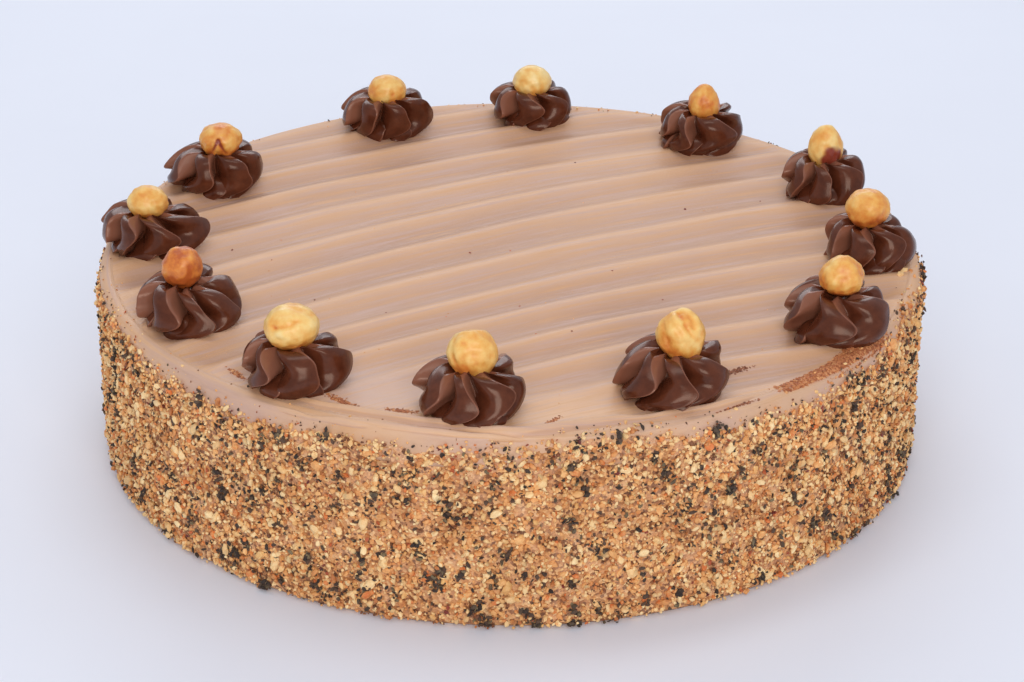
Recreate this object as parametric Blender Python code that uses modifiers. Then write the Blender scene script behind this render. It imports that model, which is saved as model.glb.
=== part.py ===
"""Whole hazelnut cream torte, 26 cm across, with twelve piped rosettes and a hazelnut on each.

The origin is the centre of the cake's flat underside, +Z is up, and -Y is the front.
"""
import math
import random
from collections import namedtuple

import bmesh
import bpy
from mathutils import Matrix, Vector, noise

MM = 0.001

# The cake: a sponge body coated in chopped nuts, under a cap of hazelnut cream.
SPONGE_RADIUS = 129.3 * MM
SPONGE_HEIGHT = 55.0 * MM
CREAM_RADIUS = 130.2 * MM
CREAM_HEIGHT = 63.2 * MM
GAP = 0.3 * MM
ROUND_SIDES = 72

# The comb lines on the cream: where each crest crosses x = 0, and how the crests run.
CRESTS = (-158, -136, -114, -92, -73, -52, -33, -9, 16, 39, 60, 81, 102, 124, 146, 168)
CREST_PLACES = [place * MM for place in CRESTS]
CREST_SLOPE = 0.56
CREST_SLOPE_AT_BACK = 0.45
CREST_BEND = 1.1
CREST_RELIEF = 2.0 * MM
TROUGH_PHASE = 0.68
COMB_PHASES = (0.0, 0.34, TROUGH_PHASE)
COMB_COLUMNS = 12
COMB_HALF_WIDTH = 136 * MM

# The rounded shoulder of the cream, and how far its disc stands over the combed surface.
SHOULDER = 3.4 * MM
SHOULDER_STEPS = 3
CREAM_SPARE = 0.4 * MM

# The chopped nuts on the wall, in rows round the cake, and the few that reach the shoulder.
NUT_ROWS = 4
NUTS_A_ROW = 34
WALL_NUT_SIZES = (4.6 * MM, 7.2 * MM)
SHOULDER_NUTS = 16
SHOULDER_NUT_SIZES = (3.2 * MM, 4.6 * MM)
NUT_MARGIN = 0.4 * MM

# The piped rosettes.
ROSETTE_HEIGHT = 13.2 * MM
ROSETTE_SINK = 1.6 * MM
ROSETTE_LOBES = 7
NUT_LIFT = 15.8 * MM
SEAT_CLEARANCE = 0.45 * MM

# Each rosette: its angle round the cake, its distance from the middle and its width, then
# how far its nut stands to the right, to the back and up, that nut's width and height, and
# the angles at which the lobes' edges that face the front stand.
Rosette = namedtuple("Rosette", "angle reach wide nut_right nut_back nut_up nut_wide nut_tall edges")
ROSETTES = (
    Rosette(113, 114.0, 31, 1.1, -2.5, -1.6, 14.2, 11.4, (-150, -98, -50)),
    Rosette(86, 114.0, 29, -0.6, -1.5, -1.4, 15.0, 11.4, (-140, -80, -28)),
    Rosette(54.5, 112.3, 30, 1.6, -1.0, -1.2, 12.0, 12.2, (-155, -108, -40)),
    Rosette(24, 114.0, 29, 0.5, 2.0, -0.6, 12.8, 15.0, (-128, -82, -35)),
    Rosette(-4, 114.0, 30, -1.2, 2.0, 0.0, 15.2, 12.4, (-146, -92, -48)),
    Rosette(-32, 115.0, 31, 1.6, 3.6, 1.0, 14.4, 13.0, (-150, -82, -12)),
    Rosette(-65.9, 110.8, 33, 3.6, 4.4, 0.0, 15.2, 16.4, (-165, -120, -71, -15)),
    Rosette(-95.6, 114.0, 31, 0.6, 3.6, 0.0, 15.6, 15.4, (-131, -86, -44, -1)),
    Rosette(-123.2, 113.8, 32, -0.2, 1.0, 0.0, 17.8, 13.2, (-165, -120, -52, 5)),
    Rosette(-149.8, 110.8, 32, -2.6, 2.6, 0.0, 13.2, 12.6, (-160, -100, -60, -15)),
    Rosette(179, 113.5, 33, -1.6, -2.0, -0.7, 14.0, 10.8, (-150, -105, -58, -5)),
    Rosette(152.2, 112.4, 31, 2.6, 0.0, -0.8, 16.0, 11.0, (-140, -88, -36)),
)

# A lobe of the rosette's cross-section, from one edge of the star to the next: each point's
# place in the lobe and its reach. The reach climbs to the sharp edge, then falls to the valley.
LOBE_POINTS = ((0.0, 0.58), (0.24, 0.76), (0.55, 0.93), (0.83, 1.0))

# The rosette's rings from the bowl at its crown down to its foot: height, reach, how deep the
# star is cut, and how many degrees it has turned. The ends are single points in the middle.
ROSETTE_RINGS = (
    (0.86, 0.00, 0.0, 10),
    (1.00, 0.54, 0.8, 10),
    (0.90, 0.88, 1.0, 6),
    (0.58, 1.03, 1.0, 0),
    (0.26, 0.95, 1.0, -18),
    (0.00, 0.74, 0.9, -38),
    (0.00, 0.00, 0.0, -38),
)


def remove_scene_objects():
    for thing in list(bpy.data.objects):
        bpy.data.objects.remove(thing, do_unlink=True)


def new_collection(name):
    collection = bpy.data.collections.new(name)
    bpy.context.scene.collection.children.link(collection)
    return collection


def new_material(name, colour, roughness):
    material = bpy.data.materials.new(name)
    material.use_nodes = True
    shader = material.node_tree.nodes["Principled BSDF"]
    shader.inputs["Base Color"].default_value = (*colour, 1.0)
    shader.inputs["Roughness"].default_value = roughness
    shader.inputs["Metallic"].default_value = 0.0
    return material


def new_object(name, shape, collection, material=None):
    """Turns a bmesh into a named object in its collection."""
    bmesh.ops.recalc_face_normals(shape, faces=shape.faces)
    mesh = bpy.data.meshes.new(name)
    shape.to_mesh(mesh)
    shape.free()
    thing = bpy.data.objects.new(name, mesh)
    collection.objects.link(thing)
    if material is not None:
        mesh.materials.append(material)
    return thing


def shade_round(thing, sharp_from):
    thing.data.shade_smooth()
    thing.data.set_sharp_from_angle(angle=math.radians(sharp_from))


def as_cutter(thing):
    thing.hide_render = True
    thing.display_type = "WIRE"
    return thing


def boolean(thing, operation, cutter=None, collection=None):
    modifier = thing.modifiers.new(operation.title(), "BOOLEAN")
    modifier.operation = operation
    modifier.solver = "EXACT"
    if collection is not None:
        modifier.operand_type = "COLLECTION"
        modifier.collection = collection
    else:
        modifier.object = cutter
    return modifier


def smooth_step(low, high, value):
    amount = min(max((value - low) / (high - low), 0.0), 1.0)
    return amount * amount * (3.0 - 2.0 * amount)


def crest_line(place, x):
    """The y of the comb line that crosses x = 0 at place. The lines fan out a little at the back."""
    fan = smooth_step(20 * MM, 80 * MM, place)
    slope = CREST_SLOPE + (CREST_SLOPE_AT_BACK - CREST_SLOPE) * fan
    return place + slope * x - CREST_BEND * x * x


def comb_height(x, y, phase):
    """The cream's height at a phase from one crest, 0, down to the trough and up to the next, 1."""
    if phase < TROUGH_PHASE:
        depth = phase / TROUGH_PHASE
    else:
        depth = (1.0 - phase) / (1.0 - TROUGH_PHASE)
    reach = math.hypot(x, y)
    edge_fade = 1.0 - smooth_step(119 * MM, 128 * MM, reach)
    front_fade = smooth_step(-116 * MM, -92 * MM, y)
    strength = edge_fade * front_fade
    swell = 0.5 * MM * noise.noise(Vector((x * 22, y * 22, 3.0)))
    level = CREAM_HEIGHT - 0.5 * CREST_RELIEF
    return level + strength * (0.5 * CREST_RELIEF - CREST_RELIEF * depth) + swell


def add_combed_block(collection):
    """A block whose top is the combed cream surface, with rows of vertices along every crest."""
    rows = []
    for front, back in zip(CREST_PLACES, CREST_PLACES[1:]):
        for phase in COMB_PHASES:
            rows.append((back + (front - back) * phase, phase))
    rows.sort()
    shape = bmesh.new()
    bmesh.ops.create_grid(shape, x_segments=COMB_COLUMNS, y_segments=len(rows) - 1, size=1.0)
    for vertex in shape.verts:
        x = vertex.co.x * COMB_HALF_WIDTH
        row = round((vertex.co.y + 1.0) / 2.0 * (len(rows) - 1))
        place, phase = rows[row]
        y = crest_line(place, x)
        vertex.co = Vector((x, y, comb_height(x, y, phase)))
    skirt = bmesh.ops.extrude_face_region(shape, geom=shape.faces[:])
    for element in skirt["geom"]:
        if isinstance(element, bmesh.types.BMVert):
            element.co.z = SPONGE_HEIGHT / 2
    bmesh.ops.triangulate(shape, faces=shape.faces)
    return new_object("combed_block", shape, collection)


def add_cream_disc(collection, material):
    """The cap of cream before it is combed: a turned disc with a round shoulder."""
    top = CREAM_HEIGHT + CREAM_SPARE
    foot = SPONGE_HEIGHT + GAP
    points = [Vector((0, 0, top))]
    for step in range(SHOULDER_STEPS + 1):
        turn = math.pi / 2 * (1 - step / SHOULDER_STEPS)
        across = CREAM_RADIUS - SHOULDER + SHOULDER * math.cos(turn)
        points.append(Vector((across, 0, top - SHOULDER + SHOULDER * math.sin(turn))))
    points.append(Vector((CREAM_RADIUS, 0, foot)))
    points.append(Vector((0, 0, foot)))
    profile = bmesh.new()
    vertices = [profile.verts.new(point) for point in points]
    for first, second in zip(vertices, vertices[1:]):
        profile.edges.new((first, second))
    mesh = bpy.data.meshes.new("cream_top")
    profile.to_mesh(mesh)
    profile.free()
    mesh.materials.append(material)
    cream = bpy.data.objects.new("cream_top", mesh)
    collection.objects.link(cream)
    screw = cream.modifiers.new("Turn", "SCREW")
    screw.axis = "Z"
    screw.angle = math.tau
    screw.steps = ROUND_SIDES
    screw.render_steps = ROUND_SIDES
    screw.use_merge_vertices = True
    screw.merge_threshold = 0.01 * MM
    return cream


def apply_modifiers(thing):
    """Replaces the object's mesh with what its modifiers make, and takes them off."""
    bpy.context.view_layer.update()
    graph = bpy.context.evaluated_depsgraph_get()
    result = bpy.data.meshes.new_from_object(thing.evaluated_get(graph))
    thing.modifiers.clear()
    thing.data = result


def add_chopped_nut(place, size, dice, name, collection):
    """One rough piece of nut, an icosphere flattened and turned at random."""
    shape = bmesh.new()
    bmesh.ops.create_icosphere(shape, subdivisions=1, radius=0.5 * size)
    squash = Vector((dice.uniform(0.8, 1.0), dice.uniform(0.65, 0.85), dice.uniform(0.55, 0.75)))
    bmesh.ops.scale(shape, vec=squash, verts=shape.verts)
    turn = Matrix.Rotation(dice.uniform(0, math.tau), 3, "X")
    turn = turn @ Matrix.Rotation(dice.uniform(0, math.tau), 3, "Z")
    bmesh.ops.rotate(shape, matrix=turn, verts=shape.verts)
    bmesh.ops.translate(shape, vec=place, verts=shape.verts)
    return new_object(name, shape, collection)


def fuse(thing, pieces):
    """Joins every object of a collection to the thing in one union, and removes them."""
    boolean(thing, "UNION", collection=pieces)
    apply_modifiers(thing)
    for piece in list(pieces.objects):
        bpy.data.objects.remove(piece, do_unlink=True)
    bpy.data.collections.remove(pieces)


def add_sponge(collection, material):
    """The sponge body with the largest chopped nuts pressed into its wall."""
    shape = bmesh.new()
    bmesh.ops.create_cone(shape, cap_ends=True, segments=ROUND_SIDES, radius1=SPONGE_RADIUS,
                          radius2=SPONGE_RADIUS, depth=SPONGE_HEIGHT)
    bmesh.ops.translate(shape, vec=(0, 0, SPONGE_HEIGHT / 2), verts=shape.verts)
    sponge = new_object("cake", shape, collection, material)
    nuts = new_collection("wall_nuts")
    dice = random.Random(7)
    for row in range(NUT_ROWS):
        for number in range(NUTS_A_ROW):
            size = dice.uniform(*WALL_NUT_SIZES)
            low = 0.5 * size + NUT_MARGIN
            high = SPONGE_HEIGHT - 0.5 * size - NUT_MARGIN
            level = low + (high - low) * (row + dice.uniform(0.15, 0.85)) / NUT_ROWS
            turn = math.tau * (number + 0.5 * (row % 2) + dice.uniform(-0.32, 0.32)) / NUTS_A_ROW
            out = SPONGE_RADIUS - 0.08 * size
            place = Vector((out * math.cos(turn), out * math.sin(turn), level))
            add_chopped_nut(place, size, dice, f"wall_nut_{row}_{number}", nuts)
    fuse(sponge, nuts)
    shade_round(sponge, 30)


def add_cream_top(collection, cutters, material):
    """The cream cap, combed, with a few chopped nuts that climb its shoulder."""
    cream = add_cream_disc(collection, material)
    block = add_combed_block(cutters)
    boolean(cream, "INTERSECT", block)
    apply_modifiers(cream)
    bpy.data.objects.remove(block, do_unlink=True)
    nuts = new_collection("shoulder_nuts")
    dice = random.Random(11)
    for number in range(SHOULDER_NUTS):
        size = dice.uniform(*SHOULDER_NUT_SIZES)
        turn = math.tau * (number + dice.uniform(-0.3, 0.3)) / SHOULDER_NUTS
        level = SPONGE_HEIGHT + GAP + 0.5 * size + dice.uniform(0.2, 1.6) * MM
        out = CREAM_RADIUS - 0.15 * size
        place = Vector((out * math.cos(turn), out * math.sin(turn), level))
        add_chopped_nut(place, size, dice, f"shoulder_nut_{number}", nuts)
    fuse(cream, nuts)
    shade_round(cream, 30)
    return cream


def add_cream_cutter(cream, cutters):
    """The cream's own form, raised and widened by the gap that the rosettes keep from it."""
    cutter = bpy.data.objects.new("cream_cutter", cream.data.copy())
    cutters.objects.link(cutter)
    for vertex in cutter.data.vertices:
        vertex.co.xy *= 1.0 + GAP / CREAM_RADIUS
        vertex.co.z += GAP
    return as_cutter(cutter)


def nut_place(rosette):
    turn = math.radians(rosette.angle)
    x = rosette.reach * MM * math.cos(turn) + rosette.nut_right * MM
    y = rosette.reach * MM * math.sin(turn) + rosette.nut_back * MM
    level = CREAM_HEIGHT - 0.5 * CREST_RELIEF + NUT_LIFT + rosette.nut_up * MM
    return Vector((x, y, level))


def shape_hazelnut(rosette, number, grow):
    """A hazelnut: a sphere drawn out to a soft point, taller or wider by its own sizes."""
    dice = random.Random(100 + number)
    shape = bmesh.new()
    bmesh.ops.create_icosphere(shape, subdivisions=2, radius=1.0)
    point = dice.uniform(0.10, 0.26)
    for vertex in shape.verts:
        upward = max(vertex.co.z, 0.0)
        vertex.co *= 1.0 + point * upward ** 6 - 0.05
    tilt = Matrix.Rotation(dice.uniform(-0.5, 0.5), 3, "X")
    tilt = tilt @ Matrix.Rotation(dice.uniform(-0.5, 0.5), 3, "Y")
    bmesh.ops.rotate(shape, matrix=tilt, verts=shape.verts)
    wide = rosette.nut_wide * MM / 2
    tall = rosette.nut_tall * MM / 2
    bmesh.ops.scale(shape, vec=(wide + grow, 0.94 * wide + grow, tall + grow), verts=shape.verts)
    bmesh.ops.translate(shape, vec=nut_place(rosette), verts=shape.verts)
    return shape


def lobe_edges(front):
    """The angles of all the lobes' edges: those that face the front, the rest spread behind."""
    behind = ROSETTE_LOBES - len(front)
    gap = (360 + front[0] - front[-1]) / (behind + 1)
    return list(front) + [front[-1] + gap * (number + 1) for number in range(behind)]


def add_rosette(rosette, number, collection, material):
    """A piped rosette: a star drawn upwards, turned and closed round the nut's seat."""
    dice = random.Random(40 + number)
    sides = ROSETTE_LOBES * len(LOBE_POINTS)
    lobe_reach = [dice.uniform(0.92, 1.06) for _ in range(ROSETTE_LOBES)]
    lobe_lift = [dice.uniform(-0.9, 0.9) * MM for _ in range(ROSETTE_LOBES)]
    edges = lobe_edges(rosette.edges)
    edges.insert(0, edges[-1] - 360)
    turn = math.radians(rosette.angle)
    middle = Vector((math.cos(turn), math.sin(turn), 0.0)) * rosette.reach * MM
    lean = Vector((rosette.nut_right, rosette.nut_back, 0.0)) * MM
    foot = CREAM_HEIGHT - 0.5 * CREST_RELIEF - ROSETTE_SINK
    rise = ROSETTE_HEIGHT + ROSETTE_SINK

    shape = bmesh.new()
    bmesh.ops.create_uvsphere(shape, u_segments=sides, v_segments=len(ROSETTE_RINGS) - 1, radius=1.0)
    for vertex in shape.verts:
        ring = round(math.acos(max(-1.0, min(1.0, vertex.co.z))) / math.pi * (len(ROSETTE_RINGS) - 1))
        height, reach, depth, turned = ROSETTE_RINGS[ring]
        side = round(math.atan2(vertex.co.y, vertex.co.x) / math.tau * sides) % sides
        lobe, point = divmod(side, len(LOBE_POINTS))
        part, out = LOBE_POINTS[point]
        out = 1.0 - (1.0 - out) * depth
        angle = math.radians(edges[lobe] + (edges[lobe + 1] - edges[lobe]) * part + turned)
        across = 0.5 * rosette.wide * MM * reach * out * lobe_reach[lobe]
        level = foot + rise * height + lobe_lift[lobe] * height * reach
        star = Vector((across * math.cos(angle), across * math.sin(angle), level))
        vertex.co = middle + lean * height * height + star
    return new_object(f"rosette_{number:02d}", shape, collection, material)


def build():
    remove_scene_objects()
    parts = new_collection("hazelnut_cream_torte")
    cutters = new_collection("cutters")
    nut_coat = new_material("chopped_nut_coat", (0.47, 0.25, 0.12), 0.75)
    cream = new_material("hazelnut_cream", (0.61, 0.40, 0.28), 0.5)
    ganache = new_material("ganache", (0.06, 0.022, 0.016), 0.3)
    toasted = new_material("toasted_hazelnut", (0.80, 0.47, 0.14), 0.45)

    add_sponge(parts, nut_coat)
    cream_top = add_cream_top(parts, cutters, cream)
    cream_cutter = add_cream_cutter(cream_top, cutters)
    for number, rosette in enumerate(ROSETTES, 1):
        piped = add_rosette(rosette, number, parts, ganache)
        boolean(piped, "DIFFERENCE", cream_cutter)
        shade_round(piped, 40)
        hollow = shape_hazelnut(rosette, number, SEAT_CLEARANCE)
        seat = new_object(f"nut_seat_{number:02d}", hollow, cutters)
        boolean(piped, "DIFFERENCE", as_cutter(seat))
        nut = new_object(f"hazelnut_{number:02d}", shape_hazelnut(rosette, number, 0.0), parts, toasted)
        shade_round(nut, 60)


build()
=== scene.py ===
import bisect
import math
import random

import bmesh
import bpy
import numpy as np
from mathutils import Matrix, Vector, noise


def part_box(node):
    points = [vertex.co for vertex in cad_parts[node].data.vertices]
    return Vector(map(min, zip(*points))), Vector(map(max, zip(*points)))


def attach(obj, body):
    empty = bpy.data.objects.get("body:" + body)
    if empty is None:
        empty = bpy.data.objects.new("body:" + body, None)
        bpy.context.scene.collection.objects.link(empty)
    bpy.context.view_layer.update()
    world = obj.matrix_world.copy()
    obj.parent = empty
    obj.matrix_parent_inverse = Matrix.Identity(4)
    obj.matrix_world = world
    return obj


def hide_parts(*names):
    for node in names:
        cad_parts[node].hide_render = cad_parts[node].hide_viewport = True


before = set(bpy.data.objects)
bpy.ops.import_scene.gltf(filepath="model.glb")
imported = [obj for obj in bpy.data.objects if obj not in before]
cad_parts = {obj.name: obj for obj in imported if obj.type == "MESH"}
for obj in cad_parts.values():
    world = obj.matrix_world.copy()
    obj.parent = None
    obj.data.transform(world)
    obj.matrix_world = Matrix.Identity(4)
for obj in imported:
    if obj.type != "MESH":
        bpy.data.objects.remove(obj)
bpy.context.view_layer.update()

# The table and the room: a wide pale tabletop under soft window light from the front and above,
# with a cool window beyond it. The long lens looks down by about 26 degrees.
MM = 0.001
LENS = 98.97
SENSOR = 36.0
CAMERA_DISTANCE = 914.1 * MM
CAMERA_ELEVATION = math.radians(25.81)
CAMERA_ROLL = math.radians(0.259)
CAMERA_AIM = Vector((0.67, 0.0, 28.87)) * MM
TABLE_HALF_WIDTH = 4.0
TABLE_SQUARES = 4
TABLE_DROP = 0.2 * MM
ROOM_LIGHT = 0.60


def paint(red, green, blue):
    """A colour as it looks on screen, 0 to 255, in the linear values that a shader takes."""
    linear = [((value / 255 + 0.055) / 1.055) ** 2.4 for value in (red, green, blue)]
    return (*linear, 1.0)


def new_material(name, roughness):
    material = bpy.data.materials.new(name)
    material.use_nodes = True
    material.node_tree.nodes["Principled BSDF"].inputs["Roughness"].default_value = roughness
    return material


def add_node(material, kind, inputs=None, **settings):
    """A shader node, with its inputs given as values or as the sockets they are linked to."""
    node = material.node_tree.nodes.new(kind)
    for setting, value in settings.items():
        setattr(node, setting, value)
    for socket, value in (inputs or {}).items():
        if isinstance(value, bpy.types.NodeSocket):
            material.node_tree.links.new(value, node.inputs[socket])
        else:
            node.inputs[socket].default_value = value
    return node


def object_place(material):
    return add_node(material, "ShaderNodeTexCoord").outputs["Object"]


def mottle(material, place, scale, detail=4.0, roughness=0.6):
    """A noise pattern's value, with a scale in features to the metre."""
    inputs = {"Vector": place, "Scale": scale, "Detail": detail, "Roughness": roughness}
    return add_node(material, "ShaderNodeTexNoise", inputs).outputs["Fac"]


def ramp(material, value, stops):
    """Turns a value into a colour by stops of place and colour."""
    node = add_node(material, "ShaderNodeValToRGB", {"Fac": value})
    elements = node.color_ramp.elements
    while len(elements) < len(stops):
        elements.new(0.5)
    for element, (place, colour) in zip(elements, stops):
        element.position = place
        element.color = colour
    return node.outputs["Color"]


def colour_by(material, colour):
    shader = material.node_tree.nodes["Principled BSDF"]
    material.node_tree.links.new(colour, shader.inputs["Base Color"])


def put_in_scene(name, data):
    """An object of the scene, made from its mesh, light or camera."""
    thing = bpy.data.objects.new(name, data)
    bpy.context.scene.collection.objects.link(thing)
    return thing


def new_piece(name, shape, material):
    """Turns a bmesh into a smooth-shaded object of the scene."""
    mesh = bpy.data.meshes.new(name)
    shape.to_mesh(mesh)
    shape.free()
    mesh.materials.append(material)
    mesh.shade_smooth()
    return put_in_scene(name, mesh)


def add_window(name, place, wide, tall, power, colour):
    """A soft oblong light that faces the cake."""
    light = bpy.data.lights.new(name, "AREA")
    light.shape = "RECTANGLE"
    light.size = wide
    light.size_y = tall
    light.energy = power
    light.color = colour
    lamp = put_in_scene(name, light)
    lamp.location = place
    lamp.rotation_euler = (-Vector(place)).to_track_quat("-Z", "Y").to_euler()


camera = put_in_scene("camera", bpy.data.cameras.new("camera"))
camera.data.lens = LENS
camera.data.sensor_width = SENSOR
view_back = Vector((0.0, -math.cos(CAMERA_ELEVATION), math.sin(CAMERA_ELEVATION)))
view_right = Vector((1.0, 0.0, 0.0))
view_up = view_back.cross(view_right)
facing = Matrix((view_right, view_up, view_back)).transposed().to_4x4()
standing = Matrix.Translation(CAMERA_AIM + view_back * CAMERA_DISTANCE)
camera.matrix_world = standing @ facing @ Matrix.Rotation(CAMERA_ROLL, 4, "Z")
bpy.context.scene.camera = camera
bpy.context.scene.view_settings.view_transform = "Standard"

room = bpy.data.worlds.new("room")
room.use_nodes = True
room.node_tree.nodes["Background"].inputs["Color"].default_value = paint(236, 241, 252)
room.node_tree.nodes["Background"].inputs["Strength"].default_value = ROOM_LIGHT
bpy.context.scene.world = room
add_window("front_window", (0.10, -1.5, 0.85), 1.2, 0.8, 13.0, (1.0, 0.96, 0.91))
add_window("roof_window", (-0.1, 0.2, 1.4), 1.2, 0.35, 3.0, (1.0, 0.98, 0.96))
add_window("far_window", (-0.1, 1.9, 1.1), 1.8, 0.9, 12.0, (0.92, 0.95, 1.0))

table_finish = new_material("pale_tabletop", 0.6)
table_tint = ramp(table_finish, mottle(table_finish, object_place(table_finish), 3.0),
                  [(0.3, paint(231, 234, 244)), (0.7, paint(236, 239, 249))])
colour_by(table_finish, table_tint)
table_shape = bmesh.new()
bmesh.ops.create_grid(table_shape, x_segments=TABLE_SQUARES, y_segments=TABLE_SQUARES, size=TABLE_HALF_WIDTH)
bmesh.ops.translate(table_shape, vec=(0.0, 0.0, -TABLE_DROP), verts=table_shape.verts)
new_piece("table", table_shape, table_finish)

# The side of the cake: a tall round of sponge masked with hazelnut cream, into which the
# chopped nuts are pressed by hand. Between them the coat shows as fine grit and cream.
WALL_RADIUS = 129.7 * MM
WALL_HEIGHT = 54.0 * MM
WALL_FOOT_ROUND = 1.2 * MM
WALL_STEPS = 420
WALL_ROWS = 44
WALL_LUMPS = 0.6 * MM
FLARE_FOOT = 44.0 * MM
FLARE_LENGTH = 10.0 * MM
CREAM_RADIUS = 130.2 * MM
SHOULDER = 3.4 * MM
SHOULDER_FOOT = 58.8 * MM
SHOULDER_LENGTH = SHOULDER * math.pi / 2
RIM_SHOWS = 60.0 * MM
COARSE_LUMPS = 170
FINE_LUMPS = 520
GROUND_LIFT = 0.15 * MM
GROUND_BELOW_NUTS = 1.4
GRIT_TO_THE_METRE = 1150.0
# How far up the nuts reach in millimetres, and the stretches where they reach higher: the middle
# and the half width of each in degrees, and how much higher.
COAT_LEVEL = 57.2
COAT_RISES = ((-77, 12, 5.5), (-111, 8, 1.5), (-20, 13, 7.0), (-160, 12, 3.5), (190, 14, 3.5), (75, 50, 2.0))
# The waves of the two ragged edges: how high, how many round the cake, and where each starts.
COAT_RAGGED = 0.6
COAT_WAVES = ((1.0, 7, 1), (0.9, 19, 2), (0.8, 43, 0))
GROUND_WAVES = ((0.7, 61, 0), (0.6, 97, 1), (0.5, 151, 0))
# The sockets of Blender's mix node for its share, its two colours and its result.
MIX_SHARE = 0
MIX_FIRST = 6
MIX_SECOND = 7
MIX_RESULT = 2


def ragged_line(turn, waves):
    return sum(height * np.sin(count * turn + start) for height, count, start in waves)


def coat_top(turn):
    """How far up the side the nuts reach at an angle: onto the rim at the front and the right."""
    degrees = np.degrees(turn)
    rises = sum(high * np.exp(-((degrees - middle) / wide) ** 2) for middle, wide, high in COAT_RISES)
    return (COAT_LEVEL + rises + COAT_RAGGED * ragged_line(turn, COAT_WAVES)) * MM


def side_surface(turn, rise):
    """The point and the outward direction at an angle and a distance up the side and over the rim."""
    bend = np.clip((rise - SHOULDER_FOOT) / SHOULDER, 0, math.pi / 2)
    over = np.maximum(rise - SHOULDER_FOOT - SHOULDER_LENGTH, 0)
    flare = np.clip((rise - FLARE_FOOT) / FLARE_LENGTH, 0, 1)
    flare = flare * flare * (3 - 2 * flare) * (CREAM_RADIUS - WALL_RADIUS)
    reach = WALL_RADIUS + flare - SHOULDER * (1 - np.cos(bend)) - over
    level = np.minimum(rise, SHOULDER_FOOT) + SHOULDER * np.sin(bend)
    ring = np.stack([np.cos(turn), np.sin(turn)], 1)
    outward = np.concatenate([ring * np.cos(bend)[:, None], np.sin(bend)[:, None]], 1)
    return np.concatenate([ring * reach[:, None], level[:, None]], 1), outward


def turned(profile, steps):
    """A closed shape turned about the middle line from points of reach and height."""
    shape = bmesh.new()
    points = [shape.verts.new((across, 0.0, level)) for across, level in profile]
    edges = [shape.edges.new(pair) for pair in zip(points, points[1:])]
    bmesh.ops.spin(shape, geom=points + edges, cent=(0, 0, 0), axis=(0, 0, 1),
                   angle=math.tau, steps=steps, use_merge=True)
    bmesh.ops.remove_doubles(shape, verts=shape.verts, dist=0.01 * MM)
    bmesh.ops.recalc_face_normals(shape, faces=shape.faces)
    return shape


wall_profile = [(0.0, 0.0), (WALL_RADIUS - WALL_FOOT_ROUND, 0.0)]
for row in range(WALL_ROWS + 1):
    level = WALL_FOOT_ROUND + (WALL_HEIGHT - WALL_FOOT_ROUND) * row / WALL_ROWS
    wall_profile.append((WALL_RADIUS, level))
wall_profile.append((0.0, WALL_HEIGHT))
wall_shape = turned(wall_profile, WALL_STEPS)
outer = [vertex for vertex in wall_shape.verts if vertex.co.xy.length > 0.9 * WALL_RADIUS
         and vertex.co.z > 0.5 * WALL_FOOT_ROUND]
outer_turn = np.array([math.atan2(vertex.co.y, vertex.co.x) for vertex in outer])
outer_share = np.array([vertex.co.z for vertex in outer]) / WALL_HEIGHT
frayed = ragged_line(outer_turn, GROUND_WAVES)
outer_rise = outer_share * (coat_top(outer_turn) + (frayed - GROUND_BELOW_NUTS) * MM)
outer_places, outer_facing = side_surface(outer_turn, outer_rise)
for vertex, place, facing in zip(outer, outer_places, outer_facing):
    place = Vector(place)
    lump = noise.noise(place * COARSE_LUMPS) + 0.8 * noise.noise(place * FINE_LUMPS)
    vertex.co = place + Vector(facing) * (WALL_LUMPS * lump + GROUND_LIFT)


def work_out(material, operation, *values):
    """One sum on values of the shader."""
    return add_node(material, "ShaderNodeMath", dict(enumerate(values)), operation=operation).outputs[0]


def grey(value):
    return value, value, value, 1.0


def blend(material, share, first, second, kind="MIX"):
    """Mixes two colours by a share."""
    inputs = {MIX_SHARE: share, MIX_FIRST: first, MIX_SECOND: second}
    node = add_node(material, "ShaderNodeMix", inputs, data_type="RGBA", blend_type=kind)
    return node.outputs[MIX_RESULT]


def bump_by(material, height, strength, distance):
    """Raises the surface by a pattern, with its full height in metres."""
    inputs = {"Height": height, "Strength": strength, "Distance": distance}
    node = add_node(material, "ShaderNodeBump", inputs)
    shader = material.node_tree.nodes["Principled BSDF"]
    material.node_tree.links.new(node.outputs["Normal"], shader.inputs["Normal"])


def in_patches(material, place, colour):
    """Darkens a colour in soft patches of a centimetre, as nuts roasted unevenly in the pan."""
    patch = ramp(material, mottle(material, place, 95.0, 3.0),
                 [(0.36, (0.84, 0.76, 0.69, 1)), (0.56, grey(1.0))])
    return blend(material, 1.0, colour, patch, "MULTIPLY")


coat_finish = new_material("nut_grit_coat", 0.75)
coat_place = object_place(coat_finish)
coat_grit = add_node(coat_finish, "ShaderNodeTexVoronoi", {"Vector": coat_place, "Scale": GRIT_TO_THE_METRE})
coat_grain = add_node(coat_finish, "ShaderNodeSeparateColor",
                      {"Color": coat_grit.outputs["Color"]}).outputs["Red"]
coat_colour = ramp(coat_finish, coat_grain, [
    (0.00, paint(94, 56, 36)), (0.16, paint(142, 90, 54)), (0.34, paint(196, 134, 82)),
    (0.60, paint(222, 160, 102)), (0.80, paint(236, 180, 120)), (1.0, paint(246, 204, 150))])
coat_rise = add_node(coat_finish, "ShaderNodeSeparateXYZ", {"Vector": coat_place}).outputs["Z"]
coat_rise = work_out(coat_finish, "MULTIPLY", coat_rise, 1.0 / RIM_SHOWS)
coat_rise = ramp(coat_finish, coat_rise, [(0.78, grey(0.42)), (1.0, grey(0.9))])
coat_cream = mottle(coat_finish, coat_place, 240.0)
coat_cream = ramp(coat_finish, coat_cream, [(0.42, grey(0.0)), (0.60, grey(1.0))])
coat_cream = blend(coat_finish, 1.0, coat_cream, coat_rise, "MULTIPLY")
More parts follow.
